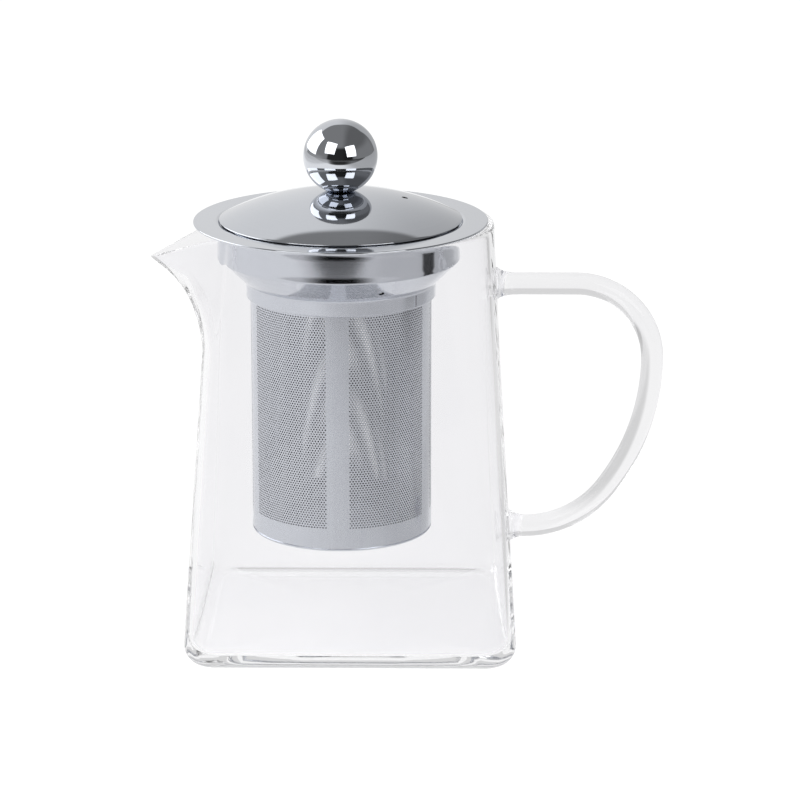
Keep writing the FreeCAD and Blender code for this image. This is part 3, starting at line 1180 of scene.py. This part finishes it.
    def build_bottom(self, box: Room) -> bpy.types.Object:
        """Turns the plate that closes the sleeve, with its seam and its spigot inside the tube.

        Args:
            box: The plate's box.

        Returns:
            The piece.
        """
        low, top, edge = box.low.z, box.high.z, box.radius
        plate = low + self.plate_sheet
        seam = plate - self.seam_height
        groove = edge - self.seam_depth
        spigot = edge - self.sleeve_sheet - self.spigot_gap
        inner = spigot - self.sheet
        wide, narrow = self.spigot_fillet
        bend = circle_arc(
            (edge - self.plate_bend, low + self.plate_bend), self.plate_bend, -90, 0, self.bend_steps
        )
        outline = [(0, low), *[(ring, low) for ring in self.plate_rings], *bend]
        outline += [(edge, seam), (groove, seam), (groove, plate), (spigot, plate)]
        outline += [(spigot, top - self.spigot_chamfer), (spigot - self.spigot_chamfer, top), (inner, top)]
        outline += [(inner, plate + wide), (inner - narrow, plate + narrow), (inner - wide, plate)]
        outline += [(self.plate_rings[0], plate), (0, plate)]
        return turned("sleeve_bottom", outline, box.axis, self.plate_sides)

    def build(self) -> None:
        """Makes the collar, the sleeve and its bottom."""
        self.keep(self.build_collar(Room.of("strainer_collar")), "strainer_collar", Slot.POLISHED)
        for piece in self.build_fields(Room.of("strainer_sleeve")):
            self.keep(piece, "strainer_sleeve", Slot.STRAINER)
        self.keep(self.build_bottom(Room.of("strainer_bottom")), "strainer_bottom", Slot.STRAINER)

    def dress(self) -> None:
        """Gives the collar polished steel, and the sleeve and its bottom satin steel, with painted shade
        on the sleeve's inner face.
        """
        axis = Room.of("strainer_collar").axis
        polished = SteelFinish(
            "collar_steel", self.collar_roughness,
            mark_spread=0.03, mark_strength=0.02, smudge_spread=0.03, axis=axis,
        )
        satin = dict(
            roughness=self.sleeve_roughness, marks=Marks.DRAWN,
            mark_spacing=1.4, mark_spread=0.05, mark_strength=0.01, axis=axis,
        )
        # The sleeve's inner face takes a painted shade, darker than its steel.
        pierced = SteelFinish("sleeve_steel_painted_inner_shade", bore=self.sleeve_radius - self.sleeve_sheet, **satin)
        self.coat("strainer_collar", polished.material())
        self.coat("strainer_sleeve", pierced.material())
        self.coat("strainer_bottom", SteelFinish("bottom_steel", **satin).material())


@dataclass
class Lid(Assembly):
    """The domed cover with its skirt and the ball knob."""

    body: Body = Body.LID
    sheet: float = 0.7
    dome_radius: float = 75.0
    dome_steps: Tuple[int, int] = (60, 50)
    cover_sides: int = 192
    cover_roughness: float = 0.05
    edge_round: float = 0.2
    edge_steps: int = 8
    hem_height: float = 0.3
    hem_width: float = 2.9
    skirt_sheet: float = 0.6
    skirt_round: Span = (0.2, 0.25)
    skirt_sides: int = 144
    bore: float = 2.15
    bore_depth: float = 8.15
    vent_radius: float = 17.4
    vent_angle: float = 0.0
    vent_size: float = 1.7
    vent_sides: int = 24
    vent_depth: float = 6.0
    ball_sides: int = 160
    ball_steps: int = 90
    ball_last: float = 89.0
    ball_roughness: float = 0.03
    head_height: float = 2.2
    head_radius: float = 3.5
    head_round: Sequence[Span] = ((2.9, 0.0), (3.3, 0.12), (3.5, 0.4))
    shank_radius: float = 2.0
    tip_radius: float = 1.5
    tip_height: float = 0.5
    key_width: float = 2.5
    key_depth: float = 2.6
    fastener_sides: int = 64
    fastener_roughness: float = 0.3
    washer_round: float = 0.2

    def dome(self, centre: float, radius: float, reach: float, steps: int) -> Outline:
        """The dome's outline from the screw hole out to a reach, about a centre at a height."""
        angles = np.linspace(math.asin(self.bore / radius), math.asin(reach / radius), steps + 1)
        return [(radius * math.sin(a), centre + radius * math.cos(a)) for a in angles]

    def build_cover(self, box: Room, hem: float) -> bpy.types.Object:
        """Turns the dome with its rounded edge and folded hem, and drills the steam vent.

        Args:
            box: The cover's box.
            hem: The height of the hem's underside.

        Returns:
            The piece.
        """
        centre = hem + self.hem_height - math.sqrt(self.dome_radius ** 2 - box.radius ** 2)
        fold = box.radius - self.hem_width
        edge_height = hem + self.edge_round
        arm = self.dome_radius - self.edge_round
        edge = math.sqrt(arm ** 2 - (edge_height - centre) ** 2)
        tilt = math.degrees(math.acos(edge / arm))
        outer_steps, inner_steps = self.dome_steps
        outline = self.dome(centre, self.dome_radius, edge * self.dome_radius / arm, outer_steps)
        outline += circle_arc((edge, edge_height), self.edge_round, tilt, -90, self.edge_steps)[1:]
        outline += [(fold + self.edge_round, hem), (fold, edge_height)]
        outline += self.dome(centre, self.dome_radius - self.sheet, fold, inner_steps)[::-1]
        piece = turned("lid_dome", outline, box.axis, self.cover_sides)
        side = math.radians(self.vent_angle)
        height = centre + math.sqrt(self.dome_radius ** 2 - self.vent_radius ** 2)
        place = ring_place(box.axis, self.vent_radius, side, height)
        drill(piece, place, Vector((0, 0, 1)), self.vent_size, self.vent_sides, self.vent_depth)
        return piece

    def build_skirt(self, box: Room) -> bpy.types.Object:
        """Turns the ring under the lid that centres it in the well.

        Args:
            box: The skirt's box.

        Returns:
            The piece.
        """
        low, top = box.low.z, box.high.z
        inner = box.radius - self.skirt_sheet
        inner_round, outer_round = self.skirt_round
        corners = [(inner, top, 0), (inner, low, inner_round)]
        corners += [(box.radius, low, outer_round), (box.radius, top, 0)]
        return turned("lid_ring", softened(corners), box.axis, self.skirt_sides)

    def build_ball(self, box: Room) -> bpy.types.Object:
        """Turns the ball, cut flat where it stands, with the blind hole for its screw.

        Args:
            box: The ball's box.

        Returns:
            The piece.
        """
        low, radius = box.low.z, box.radius
        middle = box.high.z - radius
        first = math.degrees(math.asin((low - middle) / radius))
        skin = circle_arc((0, middle), radius, first, self.ball_last, self.ball_steps)
        hole_top = low + self.bore_depth
        outline = [(0, hole_top), (self.bore, hole_top), (self.bore, low), *skin, (0, box.high.z)]
        return turned("knob_ball_shell", outline, box.axis, self.ball_sides)

    def build_screw(self, box: Room) -> bpy.types.Object:
        """Turns the screw and cuts its six-sided key socket.

        Args:
            box: The screw's box.

        Returns:
            The piece.
        """
        low, top = box.low.z, box.high.z
        head = low + self.head_height
        outline = [(0, low), *[(radius, low + lift) for radius, lift in self.head_round]]
        outline += [(self.head_radius, head), (self.shank_radius, head)]
        outline += [(self.shank_radius, top - self.tip_height), (self.tip_radius, top), (0, top)]
        piece = turned("knob_screw_pin", outline, box.axis, self.fastener_sides)
        key = self.key_width / math.cos(math.pi / 6)
        drill(piece, Vector((box.axis, 0, low)), Vector((0, 0, 1)), key, 6, self.key_depth)
        return piece

    def build_washer(self, box: Room) -> bpy.types.Object:
        """Turns the washer under the lid.

        Args:
            box: The washer's box.

        Returns:
            The piece.
        """
        low, top = box.low.z, box.high.z
        corners = [(self.bore, low, 0), (box.radius, low, self.washer_round)]
        corners += [(box.radius, top, self.washer_round), (self.bore, top, 0)]
        return turned("knob_washer_ring", softened(corners), box.axis, self.fastener_sides)

    def build(self) -> None:
        """Makes the cover, its skirt and the knob."""
        skirt = Room.of("lid_skirt")
        self.keep(self.build_cover(Room.of("lid_cover"), skirt.high.z), "lid_cover", Slot.POLISHED)
        self.keep(self.build_skirt(skirt), "lid_skirt", Slot.POLISHED)
        self.keep(self.build_ball(Room.of("knob_ball")), "knob_ball", Slot.MIRROR)
        self.keep(self.build_screw(Room.of("knob_screw")), "knob_screw", Slot.FASTENER)
        self.keep(self.build_washer(Room.of("knob_washer")), "knob_washer", Slot.FASTENER)

    def dress(self) -> None:
        """Gives the cover and skirt polished steel, the ball a mirror and the fasteners plain steel."""
        axis = Room.of("lid_cover").axis
        fine = dict(mark_spread=0.02, mark_strength=0.01, axis=axis)
        polished = SteelFinish("lid_steel", self.cover_roughness, smudge_spread=0.03, **fine).material()
        mirror = SteelFinish("knob_steel", self.ball_roughness, smudge_spread=0.02, **fine).material()
        fastener = SteelFinish("screw_steel", self.fastener_roughness, axis=axis).material()
        self.coat("lid_cover", polished)
        self.coat("lid_skirt", polished)
        self.coat("knob_ball", mirror)
        self.coat("knob_screw", fastener)
        self.coat("knob_washer", fastener)


# The studio


@dataclass(frozen=True)
class Softbox:
    """A rectangular lamp."""

    name: str
    place: Triple
    size: Span
    power: float
    aim: Triple = (0.0, 0.0, 0.08)

    def build(self) -> None:
        """Hangs the lamp."""
        light = bpy.data.lights.new(self.name, "AREA")
        light.shape = "RECTANGLE"
        light.size, light.size_y = self.size
        light.energy = self.power
        lamp = bpy.data.objects.new(self.name, light)
        lamp.location = self.place
        lamp.rotation_euler = (Vector(self.aim) - Vector(self.place)).to_track_quat("-Z", "Y").to_euler()
        bpy.context.scene.collection.objects.link(lamp)


@dataclass(frozen=True)
class FloorFinish:
    """A floor that is white to the camera, and shows steel and glass a painted reflection of a lit table's
    light and dark.

    Each rise runs over metres of floor: across to the right, ahead towards the camera or deep
    away from it, or over the ratio of two of these.
    """

    white: float = 0.22
    glow: float = 0.92
    glass_glow: float = 0.77
    least_run: float = 0.01
    # Painted reflection: a dark patch on the floor in front, seen only in steel and glass.
    patch_near: Rise = Rise(0.43, 0.47, 0.8)
    patch_full: Rise = Rise(0.5, 0.6, 0.2)
    patch_far: Rise = Rise(1.1, 1.4)
    patch_aside: Rise = Rise(0.2, 0.8)
    patch_in_steel: float = 0.8
    # Painted reflection in the steel: darker towards the camera past the table's edge, and dimmer to
    # either side.
    painted_dark_edge: Rise = Rise(0.42, 0.58)
    painted_dark_edge_left: Rise = Rise(0.4, 0.9, 0.7)
    dim_right: Rise = Rise(0.02, 0.3, 0.5)
    dim_left: Rise = Rise(0.35, 0.6, 0.3)
    # Painted shade: a dark strip on the floor to the right, seen through the glass.
    painted_strip_across: Rise = Rise(0.4, 0.44)
    painted_strip_sides: Rise = Rise(0.05, 0.08)
    painted_strip_middle: float = 0.01
    painted_strip_glow_loss: float = 0.95
    painted_strip_white_loss: float = 0.9
    # Painted light and shade seen through the glass: levels near, far and behind, with a painted shade
    # behind to the right.
    near_glow: float = 0.8
    near_right: Rise = Rise(-0.2, 0.2, -0.3)
    far_floor: Rise = Rise(0.36, 0.46)
    far_glow: float = 0.5
    far_right: Rise = Rise(-0.2, 0.2, 0.1)
    behind: Rise = Rise(-0.12, -0.02)
    behind_left: Rise = Rise(0.07, 0.15, 0.04)
    behind_right: Sequence[Rise] = (Rise(0.06, 0.09, 0.25), Rise(0.13, 0.17, -0.1), Rise(0.28, 0.36, 0.2))
    right_wedge: Rise = Rise(1.6, 2.6)

    def ratio(self, shader: Shader, first: Signal, second: Signal) -> Signal:
        """One measure over another, which counts as no less than the least run."""
        return first / shader.maths("MAXIMUM", second, self.least_run)

    def patch(self, shader: Shader, across: Signal, ahead: Signal) -> Signal:
        """Finds the dark patch in front of the table, a painted reflection of dark that steel and glass
        show.

        Args:
            shader: The floor's shader.
            across: The place to the right.
            ahead: The place towards the camera.

        Returns:
            1 inside the patch.
        """
        lean = self.ratio(shader, across, ahead)
        aside = shader.ramp(shader.maths("ABSOLUTE", lean), self.patch_aside)
        depth = shader.ramp(ahead, self.patch_near) + shader.ramp(ahead, self.patch_full)
        return depth * (1 - aside) * (1 - shader.ramp(ahead, self.patch_far))

    def in_steel(self, shader: Shader, across: Signal, ahead: Signal, patch: Signal) -> Signal:
        """Finds how bright the floor is in the steel, as a painted reflection.

        Args:
            shader: The floor's shader.
            across: The place to the right.
            ahead: The place towards the camera.
            patch: The dark patch.

        Returns:
            The level.
        """
        lean = self.ratio(shader, across, ahead)
        edge = shader.ramp(ahead, self.painted_dark_edge) * (1 - shader.ramp(0 - lean, self.painted_dark_edge_left))
        glow = self.glow - shader.ramp(across, self.dim_right) - shader.ramp(0 - across, self.dim_left)
        return (1 - edge) * (1 - patch) * glow

    def in_glass(self, shader: Shader, across: Signal, deep: Signal, patch: Signal) -> Signal:
        """Finds how bright the floor is through the glass, as painted light and shade.

        Args:
            shader: The floor's shader.
            across: The place to the right.
            deep: The place away from the camera.
            patch: The dark patch.

        Returns:
            The level.
        """
        near = self.near_glow + shader.ramp(across, self.near_right)
        distant = self.far_glow + shader.ramp(across, self.far_right)
        far = shader.ramp(0 - deep, self.far_floor)
        front = (near * (1 - far) + distant * far) * (1 - patch)
        wedge = 1 - shader.ramp(self.ratio(shader, deep, across), self.right_wedge)
        # Painted shade behind to the right, in steps, seen through the glass.
        shade = sum(shader.ramp(across, rise) for rise in self.behind_right) * wedge
        back = self.glass_glow + shader.ramp(0 - across, self.behind_left) - shade
        behind = shader.ramp(deep, self.behind)
        return front * (1 - behind) + back * behind

    def material(self) -> bpy.types.Material:
        """Builds the material.

        Returns:
            The material.
        """
        material, shader = fresh_material("floor_white_with_painted_reflections")
        across, deep, _ = shader.parts(shader.place())
        ahead = 0 - deep
        patch = self.patch(shader, across, ahead)
        # Painted shade: the dark strip to the right, for rays through the glass.
        aside = shader.maths("ABSOLUTE", deep - self.painted_strip_middle)
        painted_strip = shader.ramp(across, self.painted_strip_across) * (1 - shader.ramp(aside, self.painted_strip_sides))
        through = shader.ray("Is Transmission Ray")
        glossy = shader.ray("Is Glossy Ray") * (1 - through)
        inside = self.in_glass(shader, across, deep, patch) * (1 - painted_strip * self.painted_strip_glow_loss)
        level = shader.ray("Is Camera Ray") * self.glow
        level = level + glossy * self.in_steel(shader, across, ahead, patch) + through * inside
        # The painted dark patch and strip also darken the floor's own colour, for glass and steel rays
        # only.
        dark = through * (patch + painted_strip * self.painted_strip_white_loss) + glossy * patch * self.patch_in_steel
        matt = shader.add("ShaderNodeBsdfDiffuse", {"Color": self.white * (1 - dark)})
        light = shader.add("ShaderNodeEmission", {"Strength": level})
        both = shader.add("ShaderNodeAddShader", {0: shader.out(matt), 1: shader.out(light)})
        shader.surface(shader.out(both))
        return material


@dataclass(frozen=True)
class RoomLight:
    """The room around the floor: white to the camera, with a bright back wall and a dim front.

    Each rise runs over parts of a direction: across to the right, deep away from the camera, up.
    """

    middle: Rise = Rise(0.0, 0.3, 0.09)
    wall_slope: float = 1.32
    wall_tilt: float = 0.25
    wall_top: Rise = Rise(-0.02, 0.08)
    wall_side: Rise = Rise(0.0, 0.1)
    wall_right: float = 1.05
    wall_left: float = 1.5
    wall_glow: float = 1.1
    wall_fall: Rise = Rise(-0.15, 0.35, 0.42)
    over: float = 0.34
    over_fall: Rise = Rise(0.05, 0.4, 0.14)
    left: Rise = Rise(0.7, 0.95, 0.15)
    left_top: Rise = Rise(0.0, 0.2)
    right: Rise = Rise(0.5, 0.9, 0.13)
    right_top: Rise = Rise(0.3, 0.6)
    front: Rise = Rise(0.72, 0.8, 0.9)
    front_top: Rise = Rise(0.5, 0.65)
    glass: float = 0.72
    glass_gain: Rise = Rise(-0.6, 0.05, 0.12)

    def level(self, shader: Shader, across: Signal, deep: Signal, up: Signal) -> Signal:
        """Finds how bright the room is to the object.

        Args:
            shader: The world's shader.
            across: The direction's part to the right.
            deep: Its part away from the camera.
            up: Its part upwards.

        Returns:
            The level.
        """
        dip = shader.ramp(shader.maths("ABSOLUTE", across), self.middle)
        height = deep * self.wall_slope + (self.middle.height - dip) - up - across * self.wall_tilt
        wall = shader.ramp(height, self.wall_top)
        wall = wall * shader.ramp(deep * self.wall_right - across, self.wall_side)
        wall = wall * shader.ramp(deep * self.wall_left + across, self.wall_side)
        bright = self.wall_glow - shader.ramp(across, self.wall_fall)
        left = shader.ramp(0 - across, self.left) * (1 - shader.ramp(up, self.left_top))
        right = shader.ramp(across, self.right) * (1 - shader.ramp(up, self.right_top))
        front = shader.ramp(0 - deep, self.front) * (1 - shader.ramp(up, self.front_top))
        soft = self.over - shader.ramp(across, self.over_fall) + left + right
        return soft * (1 - front) * (1 - wall) + bright * wall

    def build(self) -> None:
        """Makes the world and sets it."""
        world = bpy.data.worlds.new("room")
        world.use_nodes = True
        bpy.context.scene.world = world
        shader = Shader(world.node_tree)
        across, deep, up = shader.parts(shader.place("Generated"))
        through = shader.ray("Is Transmission Ray")
        inside = self.glass + shader.ramp(deep, self.glass_gain)
        soft = self.level(shader, across, deep, up) * (1 - through) + through * inside
        seen = shader.ray("Is Camera Ray")
        shade = shader.add("ShaderNodeBackground", {"Strength": seen + (1 - seen) * soft})
        shader.surface(shader.out(shade), "ShaderNodeOutputWorld")


@dataclass
class Studio:
    """The floor, the soft room around it, the lamps and the camera."""

    floor_size: float = 12.0
    floor_gap: float = 0.0003
    camera_place: Triple = (0.0243, -0.9294, 0.3261)
    camera_turn: Triple = (74.223, 0.0, 0.691)
    camera_near: float = 0.02
    lens: float = 158.06
    bounces: int = 40
    lamps: Sequence[Softbox] = (
        Softbox("left_box", (-1.0, 0.5, 0.75), (1.3, 1.05), 9.0, (0.0, 0.5, 0.75)),
        Softbox("front_left_box", (-0.68, -1.02, 0.93), (0.85, 0.9), 5.3),
        Softbox("front_right_box", (0.82, -1.07, 0.72), (0.8, 0.85), 4.7),
    )

    def build_floor(self) -> None:
        """Lays the floor just under the foot."""
        bpy.ops.object.select_all(action="DESELECT")
        bpy.ops.mesh.primitive_plane_add(size=self.floor_size, location=(0, 0, -self.floor_gap))
        floor = bpy.context.object
        floor.name = "floor"
        floor.data.materials.append(FloorFinish().material())

    def build_camera(self) -> None:
        """Sets the camera where the picture was taken."""
        camera = bpy.data.cameras.new("camera")
        camera.lens = self.lens
        camera.clip_start = self.camera_near
        eye = bpy.data.objects.new("camera", camera)
        eye.location = self.camera_place
        eye.rotation_euler = tuple(math.radians(angle) for angle in self.camera_turn)
        bpy.context.scene.collection.objects.link(eye)
        bpy.context.scene.camera = eye

    def build(self) -> None:
        """Sets up the stage. Light needs many bounces to get through both walls of the glass."""
        self.build_floor()
        RoomLight().build()
        for lamp in self.lamps:
            lamp.build()
        self.build_camera()
        bpy.context.scene.view_settings.view_transform = "Standard"
        paths = bpy.context.scene.cycles
        paths.max_bounces = self.bounces
        paths.glossy_bounces = self.bounces
        paths.transmission_bounces = self.bounces


def main() -> None:
    """Builds every piece, sets the stage and notes the sizes."""
    logging.basicConfig(level=logging.INFO)
    for assembly in (GlassPot(), Strainer(), Lid()):
        assembly.build()
        assembly.dress()
        for pieces in assembly.pieces.values():
            for piece in pieces:
                LOG.info("%s: %d faces", piece.name, len(piece.data.polygons))
    Studio().build()


if __name__ == "__main__":
    main()
